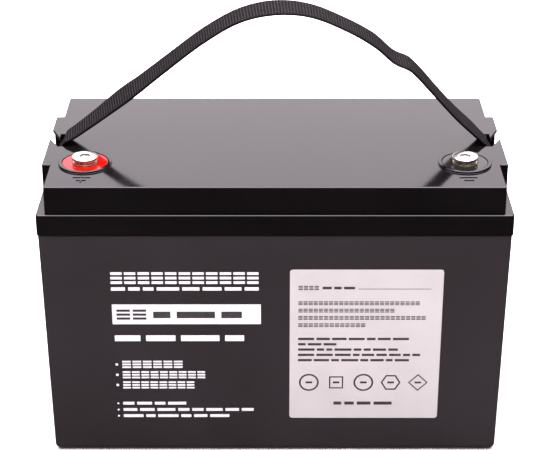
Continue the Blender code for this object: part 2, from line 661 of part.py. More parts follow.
def build_board():
    cx, cy = TRAY_CENTRE
    half_x, half_y = TRAY_SIZE[0] / 2, TRAY_SIZE[1] / 2
    tray = block("bms_tray", (cx - half_x, cy - half_y, TRAY_LOW),
                 (cx + half_x, cy + half_y, TRAY_LOW + TRAY_SIZE[2]), PARTS, BLACK_PLASTIC)
    board_high = BOARD_LOW + BOARD_SIZE[2]
    board = block("bms_board", (cx - BOARD_SIZE[0] / 2, cy - BOARD_SIZE[1] / 2, BOARD_LOW),
                  (cx + BOARD_SIZE[0] / 2, cy + BOARD_SIZE[1] / 2, board_high), PARTS, GLASS_EPOXY)
    corners = [(sx, sy) for sx in (-1, 1) for sy in (-1, 1)]
    for number, (sx, sy) in enumerate(corners, 1):
        centre = (cx + sx * SCREW_X, cy + sy * SCREW_Y)
        join(tray, cylinder(f"post_{number}", POST_RADIUS, centre, CELL_TOP + GAP, BOARD_LOW - GAP,
                            CUTTERS, None, 12))
        cut(tray, cylinder(f"post_bore_{number}", 1.6, centre, TRAY_LOW + 2, BOARD_LOW + 1,
                           CUTTERS, None, 12))
        cut(board, cylinder(f"board_hole_{number}", 1.8, centre, BOARD_LOW - 1, board_high + 1,
                            CUTTERS, None, 12))
        profile = [(0, board_high + 2.4), (2.8, board_high + 2.4), (2.8, board_high + GAP),
                   (1.3, board_high + GAP), (1.3, TRAY_LOW + 2.6), (0, TRAY_LOW + 2.6)]
        turned(f"bms_screw_{number}", profile, (*centre, 0), PARTS, STEEL, 12)
    low = board_high + GAP
    hx, hy = HEATSINK_SIZE[0] / 2, HEATSINK_SIZE[1] / 2
    sink = block("bms_heatsink", (cx - hx, cy - hy, low), (cx + hx, cy + hy, low + HEATSINK_SIZE[2]),
                 PARTS, ALUMINIUM)
    groove_count = 5
    pitch = HEATSINK_SIZE[1] / groove_count
    for index in range(groove_count):
        y = cy - hy + (index + 0.5) * pitch
        cut(sink, block(f"fin_gap_{index}", (cx - hx - 1, y - 2.4, low + 3),
                        (cx + hx + 1, y + 2.4, low + HEATSINK_SIZE[2] + 1), CUTTERS))


# ---------------------------------------------------------------- cables

def build_lug(name, centre, low, direction, stud_radius):
    """A ring lug: a flat tongue with a hole, and a barrel. Returns the cable's first points."""
    x, y = centre
    sx, sy = direction
    high = low + LUG_THICK
    ring = cylinder(name, stud_radius + 3.6, centre, low, high, PARTS, COPPER, 20)
    barrel_start, barrel_end = 9, 20
    tongue = block(name + "_tongue", (-3, -3.2, low + 0.1), (barrel_end, 3.2, high - 0.1), CUTTERS)
    barrel = cylinder(name + "_barrel", CABLE_RADIUS, (0, 0), barrel_start, barrel_end, CUTTERS, None, 16)
    heading = math.atan2(sy, sx)
    tongue.location = (tongue.location.x * math.cos(heading) + x * MM,
                       tongue.location.x * math.sin(heading) + y * MM, tongue.location.z)
    tongue.rotation_euler = (0, 0, heading)
    barrel.rotation_euler = (0, math.pi / 2, heading)
    middle = (barrel_start + barrel_end) / 2
    barrel.location = Vector((x + middle * math.cos(heading), y + middle * math.sin(heading),
                              low + LUG_THICK / 2 + 1)) * MM
    join(ring, tongue, barrel)
    cut(ring, cylinder(name + "_hole", stud_radius + GAP, centre, low - 1, high + 1, CUTTERS, None, 20))
    return [(x + reach * math.cos(heading), y + reach * math.sin(heading), low + LUG_THICK / 2 + 1)
            for reach in (barrel_end + GAP, barrel_end + 4, barrel_end + 8)]


def build_cables():
    terminal_low = INSERT_LOW - GAP - LUG_THICK
    cell_low = TERMINAL_FACE + GAP
    front = -CELL_TERMINAL_Y
    start = build_lug("cell_lug_positive", (cell_x(0), front), cell_low, (-1, 0), STUD_RADIUS)
    end = build_lug("terminal_lug_positive", (-TERMINAL_X, TERMINAL_Y), terminal_low, (1, 0), STUD_RADIUS)
    tube("cable_positive", [*start, (-116, front, 134), (-121, front, 150), (-112, -50, 172),
                            (-98, -46, 188), *reversed(end)], CABLE_RADIUS, PARTS, CABLE_RED)
    start = build_lug("cell_lug_negative", (cell_x(3), front), cell_low, (0, 1), STUD_RADIUS)
    tube("cable_pack_negative", [*start, (78, -18, 133), (82, -10, 143), (78, -6, 148), (68, -6, 146.5),
                                 (60, -6, 146.5)], CABLE_RADIUS - 0.6, PARTS, CABLE_BLACK)
    end = build_lug("terminal_lug_negative", (TERMINAL_X, TERMINAL_Y), terminal_low, (-1, 0), STUD_RADIUS)
    tube("cable_negative", [(60, 26, 146.5), (68, 26, 146.5), (86, 16, 156), (96, -8, 174),
                            (97, -32, 190), *reversed(end)], CABLE_RADIUS - 0.6, PARTS, CABLE_BLACK)
    tube("sense_harness", [(-62, 12, 147), (-70, 14, 147), (-82, 30, 140), (-84, 52, 131),
                           (-76, 66, 129), (0, 68, 128), (60, 66, 128)], 1.5, PARTS, CABLE_BLACK)
    tube("temperature_probe", [(-62, 2, 147), (-68, -4, 145), (-70, -20, 136), (-60, -34, 127),
                               (-46, -36, 124.6)], 1.4, PARTS, CABLE_BLACK)


build_case()
build_lid()
build_terminals()
build_strap()
build_strap_ends()
build_label()
build_cells()
build_busbars()
build_board()
build_cables()
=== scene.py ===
"""Looks of the deep cycle battery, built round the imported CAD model.

Lengths are in millimetres and become metres through MM. X is along the length, -Y is the front.
"""
import json
import math
import random

import bmesh
import bpy
import numpy as np
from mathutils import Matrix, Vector


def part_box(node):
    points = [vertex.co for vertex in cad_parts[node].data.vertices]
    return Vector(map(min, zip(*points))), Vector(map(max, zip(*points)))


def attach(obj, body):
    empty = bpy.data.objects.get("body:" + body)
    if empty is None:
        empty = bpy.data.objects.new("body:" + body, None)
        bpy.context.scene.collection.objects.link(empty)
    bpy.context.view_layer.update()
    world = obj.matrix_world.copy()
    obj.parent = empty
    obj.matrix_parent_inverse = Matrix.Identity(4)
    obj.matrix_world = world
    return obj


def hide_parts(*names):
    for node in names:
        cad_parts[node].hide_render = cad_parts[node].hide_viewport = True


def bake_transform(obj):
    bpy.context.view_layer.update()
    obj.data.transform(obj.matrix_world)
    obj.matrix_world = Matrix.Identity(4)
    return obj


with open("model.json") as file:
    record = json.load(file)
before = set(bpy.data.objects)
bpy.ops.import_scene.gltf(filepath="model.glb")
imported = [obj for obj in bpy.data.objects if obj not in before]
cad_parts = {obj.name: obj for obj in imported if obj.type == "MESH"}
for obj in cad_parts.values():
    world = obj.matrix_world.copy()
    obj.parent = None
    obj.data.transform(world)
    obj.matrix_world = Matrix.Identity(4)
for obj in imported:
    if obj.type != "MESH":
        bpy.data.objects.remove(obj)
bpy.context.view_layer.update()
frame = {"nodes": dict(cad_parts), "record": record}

MM = 0.001
SIDES = {"left": -1, "right": 1}
POLES = {"positive": -1, "negative": 1}
SHARP = math.radians(32)


def box_mm(node):
    low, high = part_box(node)
    return np.array(low) / MM, np.array(high) / MM


# ------------------------------------------------------------ sizes read from the frame

LID_LOW, LID_HIGH = box_mm("case_lid")
_, CASE_HIGH = box_mm("case_body")
RIM_HALF = LID_HIGH[:2]
RIM_LOW = LID_LOW[2]
BOSS_TOP = LID_HIGH[2]
CASE_SHOULDER = RIM_LOW - 0.3
CASE_TOP_HALF = CASE_HIGH[:2]
TERMINAL_CENTRES = {label: (sum(box_mm(f"terminal_bolt_{label}"))[:2] / 2) for label in POLES}

# The rest of the lid and case, measured from those
RIM_HIGH = RIM_LOW + 15.8
LID_TOP = BOSS_TOP - 1.45
BLOCK_HALF = (RIM_HALF[0] - 6.3, RIM_HALF[1] - 2.1)
WING_HALF_X = RIM_HALF[0] - 0.5
WING_FRONT, WING_BACK = -45.1, 45.6
LID_PLATE = 2.5
CASE_DRAFT = (2.3, 2.1)
CASE_WALL = 2.8
CASE_BASE_ROUND, CASE_CORNER_ROUND = 5.0, 3.0
TONGUE_INSET, TONGUE_THICK = 1.5, 1.0
WALL_BOW = 0.35
POCKET_INNER_X, POCKET_HALF_Y, POCKET_LOW = 147.0, 30.0, 197.0
SLOT_INNER_X, SLOT_OUTER_X, SLOT_HALF_Y = 150.0, 157.2, 11.8
ENTRY_CUT = [(156.9, -11.5), (166.5, 6.6), (166.5, 25.8), (156.9, 3.1)]
BOSS_RADIUS, RECESS_RADIUS = 18.8, 16.3
BORE_RADIUS, BORE_DEEP = 9.1, 14
NECK_RADIUS, NECK_DEEP = 13, 10
SKIRT_CORNER, SKIRT_LOW_ROUND, SKIRT_TOP_ROUND = 2.2, 0.6, 1.3
BLOCK_EDGE_ROUND, BLOCK_CORNER_ROUND = 1.1, 1.0
MARK_IN_FRONT = 29.5
SOCKET_ACROSS_FLATS, SOCKET_DEEP = 7.0, 1.0
AXIS = 0.01  # stands in for a radius of nothing, so that turned shapes keep whole rings


# ------------------------------------------------------------ materials

class Shader:
    """A Principled material whose colour, roughness and relief vary over the surface."""

    def __init__(self, name, color, roughness, metallic=0.0):
        self.material = bpy.data.materials.new(name)
        self.material.use_nodes = True
        self.tree = self.material.node_tree
        self.bsdf = self.tree.nodes["Principled BSDF"]
        self.bsdf.inputs["Base Color"].default_value = (*color, 1)
        self.bsdf.inputs["Roughness"].default_value = roughness
        self.bsdf.inputs["Metallic"].default_value = metallic
        self.color = color
        self.place = self.tree.nodes.new("ShaderNodeTexCoord").outputs["Object"]
        self.relief = None

    def noise(self, scale, detail=3.0, stretch=(1, 1, 1), place=None):
        mapping = self.tree.nodes.new("ShaderNodeMapping")
        mapping.inputs["Scale"].default_value = stretch
        self.tree.links.new(place or self.place, mapping.inputs["Vector"])
        texture = self.tree.nodes.new("ShaderNodeTexNoise")
        texture.inputs["Scale"].default_value = scale
        texture.inputs["Detail"].default_value = detail
        self.tree.links.new(mapping.outputs["Vector"], texture.inputs["Vector"])
        return texture.outputs["Fac"]

    def vary_color(self, factor, other, low=0.35, high=0.65):
        ramp = self.tree.nodes.new("ShaderNodeValToRGB")
        ramp.color_ramp.elements[0].position = low
        ramp.color_ramp.elements[0].color = (*self.color, 1)
        ramp.color_ramp.elements[1].position = high
        ramp.color_ramp.elements[1].color = (*other, 1)
        self.tree.links.new(factor, ramp.inputs["Fac"])
        self.tree.links.new(ramp.outputs["Color"], self.bsdf.inputs["Base Color"])

    def vary_roughness(self, factor, low, high):
        span = self.tree.nodes.new("ShaderNodeMapRange")
        span.inputs["From Min"].default_value = 0.3
        span.inputs["From Max"].default_value = 0.7
        span.inputs["To Min"].default_value = low
        span.inputs["To Max"].default_value = high
        self.tree.links.new(factor, span.inputs["Value"])
        self.tree.links.new(span.outputs["Result"], self.bsdf.inputs["Roughness"])

    def emboss(self, factor, depth):
        """Adds relief of that depth in millimetres, on top of any relief already there."""
        bump = self.tree.nodes.new("ShaderNodeBump")
        bump.inputs["Strength"].default_value = 1.0
        bump.inputs["Distance"].default_value = depth * MM
        self.tree.links.new(factor, bump.inputs["Height"])
        if self.relief:
            self.tree.links.new(self.relief, bump.inputs["Normal"])
        self.relief = bump.outputs["Normal"]
        self.tree.links.new(self.relief, self.bsdf.inputs["Normal"])


def gloss_plastic(name, color, other, roughness=(0.07, 0.13)):
    """Polished mould surface: faint flow waves and hairline scuffs."""
    made = Shader(name, color, roughness[0])
    made.vary_color(made.noise(14, 4), other)
    made.vary_roughness(made.noise(60, 6, (1, 0.15, 1)), *roughness)
    made.emboss(made.noise(55, 2), 0.02)
    made.emboss(made.noise(900, 2), 0.002)
    return made.material


def satin_plastic():
    """Fine spark-eroded texture of the case walls."""
    made = Shader("satin_case", (0.0195, 0.0147, 0.0166), 0.42)
    made.vary_color(made.noise(9, 5), (0.0240, 0.0185, 0.0207))
    made.vary_roughness(made.noise(40, 5), 0.36, 0.46)
    made.emboss(made.noise(1400, 3), 0.012)
    made.emboss(made.noise(22, 2), 0.03)
    return made.material


def plated_steel():
    """Zinc-plated steel with fine turning marks."""
    color, rough = (0.83, 0.81, 0.77), (0.12, 0.26)
    made = Shader("plated_steel", color, rough[0], 1.0)
    made.vary_color(made.noise(160, 4), tuple(0.86 * c for c in color))
    made.vary_roughness(made.noise(500, 4, (1, 1, 0.2)), *rough)
    made.emboss(made.noise(1800, 3, (1, 1, 0.1)), 0.004)
    return made.material


def printed_ink(name, color, other, roughness):
    """Screen-printed ink, slightly uneven."""
    made = Shader(name, color, roughness)
    made.vary_color(made.noise(350, 4), other)
    made.vary_roughness(made.noise(600, 3), roughness - 0.06, roughness + 0.06)
    made.emboss(made.noise(1500, 2), 0.004)
    return made.material


def label_film():
    """Pale plastic film with a faint waviness."""
    made = Shader("label_film", (0.410, 0.391, 0.380), 0.38)
    made.vary_color(made.noise(25, 5), (0.440, 0.420, 0.410))
    made.vary_roughness(made.noise(90, 4), 0.32, 0.44)
    made.emboss(made.noise(1100, 3), 0.006)
    made.emboss(made.noise(18, 2), 0.04)
    return made.material


def webbing():
    """Black polypropylene yarn with painted shade between the ribs and a painted highlight on their crests.
    """
    made = Shader("webbing", (0.0010, 0.0008, 0.0009), 0.65)
    along = made.tree.nodes.new("ShaderNodeUVMap").outputs["UV"]
    crest = made.tree.nodes.new("ShaderNodeAttribute")
    crest.attribute_name = "crest"
    # Painted light: rib height lightens the crests as a painted highlight and darkens the grooves as
    # painted shade; the added noise is random yarn tone.
    rib_light_and_tone = made.tree.nodes.new("ShaderNodeMath")
    rib_light_and_tone.operation = "MULTIPLY_ADD"
    made.tree.links.new(crest.outputs["Fac"], rib_light_and_tone.inputs[0])
    rib_light_and_tone.inputs[1].default_value = 0.75
    scaled = made.tree.nodes.new("ShaderNodeMath")
    scaled.operation = "MULTIPLY"
    scaled.inputs[1].default_value = 0.5
    made.tree.links.new(made.noise(700, 3, (1, 4, 1), along), scaled.inputs[0])
    made.tree.links.new(scaled.outputs["Value"], rib_light_and_tone.inputs[2])
    # The paler colour is the painted highlight on the rib crests.
    made.vary_color(rib_light_and_tone.outputs["Value"], (0.0300, 0.0250, 0.0270), 0.60, 1.0)
    made.vary_roughness(made.noise(400, 3), 0.5, 0.7)
    made.emboss(made.noise(3000, 2, (1, 4, 1), along), 0.06)
    made.bsdf.inputs["Specular IOR Level"].default_value = 0.05
    return made.material


def inner_material(name, color, roughness, metallic, grain, relief):
    """A plain material for the hidden parts; grain is the fineness of its mottling."""
    made = Shader(name, color, roughness, metallic)
    made.vary_color(made.noise(grain * 0.2, 4), tuple(0.78 * c for c in color))
    made.vary_roughness(made.noise(grain, 3), roughness * 0.85, min(1.0, roughness * 1.15))
    made.emboss(made.noise(grain * 4, 3), relief)
    return made.material


LID_GLOSS = gloss_plastic("lid_gloss", (0.0034, 0.0028, 0.0030), (0.0044, 0.0037, 0.0039))
RED_GLOSS = gloss_plastic("red_gloss", (0.42, 0.006, 0.003), (0.38, 0.004, 0.002), (0.05, 0.12))
BLACK_GLOSS = gloss_plastic("black_gloss", (0.010, 0.010, 0.010), (0.014, 0.013, 0.013), (0.06, 0.12))
CASE_SATIN = satin_plastic()
STEEL = plated_steel()
LABEL = label_film()
INK_WHITE = printed_ink("ink_white", (0.66, 0.65, 0.65), (0.60, 0.59, 0.59), 0.45)
INK_DARK = printed_ink("ink_dark", (0.030, 0.026, 0.028), (0.045, 0.040, 0.042), 0.4)
WEBBING = webbing()

CARRIED_MATERIALS = {
    "sealant": inner_material("sealant", (0.22, 0.22, 0.23), 0.55, 0, 120, 0.1),
    "brass": inner_material("brass", (0.70, 0.52, 0.25), 0.28, 1, 500, 0.01),
    "rubber": inner_material("rubber", (0.02, 0.02, 0.02), 0.75, 0, 600, 0.03),
    "steel": STEEL,
    "copper": inner_material("copper", (0.72, 0.36, 0.22), 0.3, 1, 400, 0.01),
    "aluminium": inner_material("aluminium", (0.72, 0.73, 0.75), 0.34, 1, 700, 0.02),
    "cell_film": inner_material("cell_film", (0.03, 0.12, 0.42), 0.3, 0, 90, 0.05),
    "foam": inner_material("foam", (0.05, 0.05, 0.055), 0.9, 0, 900, 0.25),
    "glass_epoxy": inner_material("glass_epoxy", (0.02, 0.13, 0.06), 0.4, 0, 800, 0.02),
    "cable_red": inner_material("cable_red", (0.5, 0.02, 0.015), 0.45, 0, 500, 0.02),
    "cable_black": inner_material("cable_black", (0.015, 0.015, 0.016), 0.45, 0, 500, 0.02),
    "black_plastic": BLACK_GLOSS,
}


# ------------------------------------------------------------ mesh helpers

def piece(name, points, faces, material, sharp=SHARP):
    """A mesh object from points in millimetres, with its faces turned outwards."""
    mesh = bpy.data.meshes.new(name)
    mesh.from_pydata([tuple(point) for point in np.asarray(points, float) * MM], [], faces)
    shape = bmesh.new()
    shape.from_mesh(mesh)
    bmesh.ops.recalc_face_normals(shape, faces=shape.faces)
    shape.to_mesh(mesh)
    shape.free()
    made = bpy.data.objects.new(name, mesh)
    bpy.context.scene.collection.objects.link(made)
    if material:
        mesh.materials.append(material)
    mesh.shade_smooth()
    mesh.set_sharp_from_angle(angle=sharp)
    return made


def band_faces(ring_count, count, around=True, along=False):
    """Quads between rings of points; around closes each ring, along joins the last to the first."""
    faces = []
    for ring in range(ring_count if along else ring_count - 1):
        following_ring = (ring + 1) % ring_count
        for index in range(count if around else count - 1):
            following = (index + 1) % count
            faces.append((ring * count + index, ring * count + following,
                          following_ring * count + following, following_ring * count + index))
    return faces


def loft(name, rings, material=None, sharp=SHARP):
    """A solid through rings of equal length, capped at both ends."""
    count = len(rings[0])
    faces = band_faces(len(rings), count)
    faces.append(tuple(range(count))[::-1])
    faces.append(tuple(range((len(rings) - 1) * count, len(rings) * count)))
    return piece(name, np.vstack([np.asarray(ring, float) for ring in rings]), faces, material, sharp)


def at_height(outline, z):
    return [(x, y, z) for x, y in outline]


def offset_outline(points, distance):
    """Moves every side of an anticlockwise outline outwards by a distance."""
    moved = []
    for before, here, after in zip(points[-1:] + points[:-1], points, points[1:] + points[:1]):
        first = np.subtract(here, before)
        second = np.subtract(after, here)
        n1 = np.array((first[1], -first[0])) / np.hypot(*first)
        n2 = np.array((second[1], -second[0])) / np.hypot(*second)
        shift = (n1 + n2) / (1 + n1 @ n2) * distance
        moved.append(tuple(np.array(here) + shift))
    return moved


def round_corners(points, radius, steps=4, grow=0.0):
    """Turns each square corner into an arc; grow is added on inner corners and taken off outer ones."""
    rounded = []
    for before, here, after in zip(points[-1:] + points[:-1], points, points[1:] + points[:1]):
        to_before = np.subtract(before, here) / np.hypot(*np.subtract(before, here))
        to_after = np.subtract(after, here) / np.hypot(*np.subtract(after, here))
        turn = to_before[0] * to_after[1] - to_before[1] * to_after[0]
        reach = max(radius - grow, 0.15) if turn < 0 else radius + grow
        centre = np.array(here) + (to_before + to_after) * reach
        for step in range(steps + 1):
            angle = math.pi / 2 * step / steps
            rounded.append(tuple(centre - to_after * reach * math.cos(angle)
                                 - to_before * reach * math.sin(angle)))
    return rounded


def box_outline(low, high):
    return [(low[0], low[1]), (high[0], low[1]), (high[0], high[1]), (low[0], high[1])]


def revolve(name, profile, centre, material=None, steps=64, closed=False):
    """Turns (radius, z) points round an upright axis; closed is for a ring with a hole through it."""
    rings = []
    for step in range(steps):
        angle = 2 * math.pi * step / steps
        rings.append([(centre[0] + r * math.cos(angle), centre[1] + r * math.sin(angle), z)
                      for r, z in profile])
    points = np.array(rings)
    if closed:
        return piece(name, points.reshape(-1, 3), band_faces(steps, len(profile), True, True), material)
    around = points.transpose(1, 0, 2)
    return loft(name, list(around), material)


def arc(centre_r, centre_z, radius, start, end, steps):
    """Profile points on an arc, with angles in degrees."""
    angles = np.radians(np.linspace(start, end, steps + 1))
    return [(centre_r + radius * math.cos(a), centre_z + radius * math.sin(a)) for a in angles]


def box_piece(name, low, high):
    return loft(name, [at_height(box_outline(low[:2], high[:2]), z) for z in (low[2], high[2])])


def combine(target, others, operation):
    """Applies Booleans at once and removes the other objects."""
    for other in others:
        step = target.modifiers.new(operation, "BOOLEAN")
        step.operation = operation
        step.solver = "EXACT"
        step.object = other
    graph = bpy.context.evaluated_depsgraph_get()
    mesh = bpy.data.meshes.new_from_object(target.evaluated_get(graph))
    target.modifiers.clear()
    target.data = mesh
    for other in others:
        bpy.data.objects.remove(other, do_unlink=True)
    shape = bmesh.new()
    shape.from_mesh(mesh)
    bmesh.ops.remove_doubles(shape, verts=shape.verts, dist=0.000002)
    bmesh.ops.dissolve_degenerate(shape, edges=shape.edges, dist=0.000002)
    shape.to_mesh(mesh)
    shape.free()
    mesh.shade_smooth()
    mesh.set_sharp_from_angle(angle=SHARP)
    return target


def even_normals(target):
    """Keeps big flat faces flat next to their rounded edges."""
    step = target.modifiers.new("Even_normals", "WEIGHTED_NORMAL")
    step.keep_sharp = True
    step.weight = 80
    return target


def finish_piece(target, body, slot, *nodes):
    """Says which body a piece rides on and the CAD nodes it stands for; slot, the material slot, is not
    used.
    """
    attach(target, body)
    if nodes:
        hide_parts(*nodes)


# ------------------------------------------------------------ case

def case_half(z):
    """Half the outer length and width at a height, along the draft."""
    share = 1 - z / CASE_SHOULDER
    return np.array(CASE_TOP_HALF) - np.array(CASE_DRAFT) * share


def wall_bow(along, half, z):
    """How far a moulded wall sinks in at its middle."""
    return WALL_BOW * (1 - (along / half) ** 2) * math.sin(math.pi * min(max(z / CASE_SHOULDER, 0), 1))


def front_wall_y(x, z):
    """Where the bowed front wall stands, so that label and print can lie on it."""
    half = case_half(z)
    return -(half[1] - wall_bow(x, half[0], z))


def wall_loop(half, radius, z, bowed):
    """One ring round the case with points along its sides, drawn in where the walls bow."""
    side_steps, corner_steps = 16, 5
    corners = []
    for quarter, (sx, sy) in enumerate([(1, 1), (-1, 1), (-1, -1), (1, -1)]):
        angles = np.radians(np.linspace(90 * quarter, 90 * (quarter + 1), corner_steps + 1))
        corners.append([np.array((sx * (half[0] - radius) + radius * math.cos(a),
                                  sy * (half[1] - radius) + radius * math.sin(a))) for a in angles])
    loop = []
    for corner, following in zip(corners, corners[1:] + corners[:1]):
        loop += corner
        loop += [corner[-1] + (following[0] - corner[-1]) * step / side_steps
                 for step in range(1, side_steps)]
    if bowed:
        loop = [(x - math.copysign(wall_bow(y, half[1], z), x) if abs(x) > half[0] - 0.01 else x,
                 y - math.copysign(wall_bow(x, half[0], z), y) if abs(y) > half[1] - 0.01 else y)
                for x, y in loop]
    return at_height(loop, z)


def build_case():
    """The open container: outside from the base up, over the tongue and down the inside."""
    rings = []
    for angle in np.radians(np.linspace(0, 90, 7)):
        inset = CASE_BASE_ROUND * (1 - math.sin(angle))
        z = CASE_BASE_ROUND * (1 - math.cos(angle))
        rings.append(wall_loop(case_half(z) - inset, max(CASE_CORNER_ROUND - inset / 2, 0.8), z, False))
    for z in np.linspace(CASE_BASE_ROUND, CASE_SHOULDER, 18)[1:]:
        rings.append(wall_loop(case_half(z), CASE_CORNER_ROUND, z, z < CASE_SHOULDER - 1))
    tongue = np.array(CASE_TOP_HALF) - TONGUE_INSET
    rings.append(wall_loop(tongue, 1.8, CASE_SHOULDER, False))
    rings.append(wall_loop(tongue, 1.8, CASE_HIGH[2], False))
    rings.append(wall_loop(tongue - TONGUE_THICK, 0.9, CASE_HIGH[2], False))
    for z in (CASE_SHOULDER, CASE_WALL + 3):
        rings.append(wall_loop(case_half(z) - CASE_WALL, 0.9, z, False))
    rings.append(wall_loop(case_half(CASE_WALL) - CASE_WALL - 2.5, 0.9, CASE_WALL, False))
    case = loft("case_shell", rings, CASE_SATIN)
    finish_piece(even_normals(case), "root", "case_plastic", "case_body")


# ------------------------------------------------------------ lid

def raised_outline():
    """The raised part of the lid, wider across its middle."""
    x, y = BLOCK_HALF
    return [(-x, -y), (x, -y), (x, WING_FRONT), (WING_HALF_X, WING_FRONT), (WING_HALF_X, WING_BACK),
            (x, WING_BACK), (x, y), (-x, y), (-x, WING_BACK), (-WING_HALF_X, WING_BACK),
            (-WING_HALF_X, WING_FRONT), (-x, WING_FRONT)]


def rounded_top_rings(outline, low, top, edge_round, corner_round, steps=5):
    """Rings up a block whose top edge is an arc."""
    rings = [at_height(round_corners(outline, corner_round), low)]
    for angle in np.radians(np.linspace(0, 90, steps + 1)):
        inset = edge_round * (1 - math.cos(angle))
        shape = round_corners(offset_outline(outline, -inset), corner_round, 4, inset)
        rings.append(at_height(shape, top - edge_round * (1 - math.sin(angle))))
    return rings


def flared_cutter(name, outline, low, top, flare=0.5, steps=3):
    """A cutter that widens in an arc just below the surface, so that the cut has a soft edge."""
    rings = [at_height(outline, low)]
    for angle in np.radians(np.linspace(0, 90, steps + 1)):
        grown = offset_outline(outline, flare * (1 - math.cos(angle)))
        rings.append(at_height(grown, top - flare + flare * math.sin(angle)))
    rings.append(at_height(offset_outline(outline, flare), top + 2))
    return loft(name, rings)


def skirt_rings():
    """Rings up the lid's rim, with a small round below and a larger one on top."""
    outline = box_outline(-RIM_HALF, RIM_HALF)
    rings = []
    for angle in np.radians(np.linspace(0, 90, 4)):
        inset = SKIRT_LOW_ROUND * (1 - math.sin(angle))
        shape = round_corners(offset_outline(outline, -inset), SKIRT_CORNER, 6, inset)
        rings.append(at_height(shape, RIM_LOW + SKIRT_LOW_ROUND * (1 - math.cos(angle))))
    for angle in np.radians(np.linspace(0, 90, 6)):
        inset = SKIRT_TOP_ROUND * (1 - math.cos(angle))
        shape = round_corners(offset_outline(outline, -inset), SKIRT_CORNER, 6, inset)
        rings.append(at_height(shape, RIM_HIGH - SKIRT_TOP_ROUND * (1 - math.sin(angle))))
    return rings


def boss_profile():
    """Outer side of a terminal collar, with a soft foot and a rounded lip, down to the axis."""
    foot = arc(BOSS_RADIUS + 0.25, LID_TOP + 0.25, 0.25, 180, 262, 3)
    lip = arc(BOSS_RADIUS - 0.35, BOSS_TOP - 0.35, 0.35, 90, 0, 5)
    return [(AXIS, BOSS_TOP), *lip, *foot, (BOSS_RADIUS + 0.2, LID_TOP - 1.5), (AXIS, LID_TOP - 1.5)]


def recess_profile(floor):
    """The round recess inside a collar, with a rounded mouth."""
    flare = arc(RECESS_RADIUS + 0.25, BOSS_TOP - 0.25, 0.25, 90, 180, 4)
    return [(AXIS, BOSS_TOP + 2), (RECESS_RADIUS + 0.25, BOSS_TOP + 2), *flare,
            (RECESS_RADIUS, floor), (AXIS, floor)]


def entry_outline(side):
    """The slanted cut beside a slot, mirrored for the left end."""
    return ENTRY_CUT if side > 0 else [(-x, y) for x, y in ENTRY_CUT][::-1]


def span(side, inner, outer):
    return sorted((side * inner, side * outer))


def lid_cutters():
    """Everything taken out of the lid: its hollow, pockets, slots, entry cuts and terminal bores."""
    under = LID_TOP - LID_PLATE
    ledge_low = RIM_HIGH - LID_PLATE
    skirt_space = np.array(RIM_HALF) - (1.8, 1.6)
    cutters = [box_piece("skirt_space", (*-skirt_space, RIM_LOW - 5), (*skirt_space, ledge_low))]
    inner = np.array(BLOCK_HALF) - LID_PLATE
    hollow = box_piece("lid_hollow", (*-inner, RIM_LOW), (*inner, under))
    keep = []
    for label, side in SIDES.items():
        low_x, high_x = span(side, POCKET_INNER_X - LID_PLATE, WING_HALF_X + 5)
        reach = POCKET_HALF_Y + LID_PLATE
        keep.append(box_piece(f"pocket_wall_{label}", (low_x, -reach, POCKET_LOW - LID_PLATE),
                              (high_x, reach, LID_TOP + 5)))
    neck = [(AXIS, LID_TOP), (NECK_RADIUS, LID_TOP), (NECK_RADIUS, LID_TOP - NECK_DEEP),
            (AXIS, LID_TOP - NECK_DEEP)]
    for label, centre in TERMINAL_CENTRES.items():
        keep.append(revolve(f"neck_{label}", neck, centre))
    cutters.append(combine(hollow, keep, "DIFFERENCE"))
    for label, side in SIDES.items():
        low_x, high_x = span(side, POCKET_INNER_X, WING_HALF_X + 3)
        cutters.append(box_piece(f"pocket_{label}", (low_x, -POCKET_HALF_Y, POCKET_LOW),
                                 (high_x, POCKET_HALF_Y, under)))
        low_x, high_x = span(side, SLOT_INNER_X, SLOT_OUTER_X)
        slot = box_outline((low_x, -SLOT_HALF_Y), (high_x, SLOT_HALF_Y))
        cutters.append(flared_cutter(f"slot_{label}", slot, under - 2, LID_TOP))
        cutters.append(flared_cutter(f"entry_{label}", entry_outline(side), under - 2.2, LID_TOP, 0.35))
    bore = [(AXIS, BOSS_TOP), (BORE_RADIUS, BOSS_TOP), (BORE_RADIUS, LID_TOP - BORE_DEEP),
            (AXIS, LID_TOP - BORE_DEEP)]
    for label, centre in TERMINAL_CENTRES.items():
        cutters.append(revolve(f"recess_{label}", recess_profile(LID_TOP), centre, None, 96))
        cutters.append(revolve(f"bore_{label}", bore, centre))
    return cutters


def build_lid():
    lid = loft("lid_shell", skirt_rings(), LID_GLOSS)
    raised = loft("raised_block", rounded_top_rings(raised_outline(), RIM_HIGH - 2, LID_TOP,
                                                    BLOCK_EDGE_ROUND, BLOCK_CORNER_ROUND))
    bosses = [revolve(f"boss_{label}", boss_profile(), centre, None, 96)
              for label, centre in TERMINAL_CENTRES.items()]
    combine(lid, [raised, *bosses], "UNION")
    combine(lid, lid_cutters(), "DIFFERENCE")
    finish_piece(even_normals(lid), "root", "lid_plastic", "case_lid")


def build_polarity_marks():
    """A raised line with a plus or a minus below it, in front of each collar."""
    arm, half_bar, rise = 3.4, 0.55, 0.5
    cross = [(-arm, -half_bar), (-half_bar, -half_bar), (-half_bar, -arm), (half_bar, -arm),
             (half_bar, -half_bar), (arm, -half_bar), (arm, half_bar), (half_bar, half_bar),
             (half_bar, arm), (-half_bar, arm), (-half_bar, half_bar), (-arm, half_bar)]
    shapes = {"positive": cross, "negative": box_outline((-arm, -half_bar), (arm, half_bar))}
    line = box_outline((-6.2, 4.3), (6.2, 5.0))
    for label, centre in TERMINAL_CENTRES.items():
        for part, shape in (("line", line), ("sign", shapes[label])):
            outline = [(centre[0] + x, centre[1] - MARK_IN_FRONT + y) for x, y in shape]
            rings = rounded_top_rings(outline, LID_TOP - 0.05, LID_TOP + rise, 0.15, 0.2, 3)
            finish_piece(loft(f"polarity_{part}_{label}", rings, LID_GLOSS), "root", "lid_plastic")


# ------------------------------------------------------------ terminals

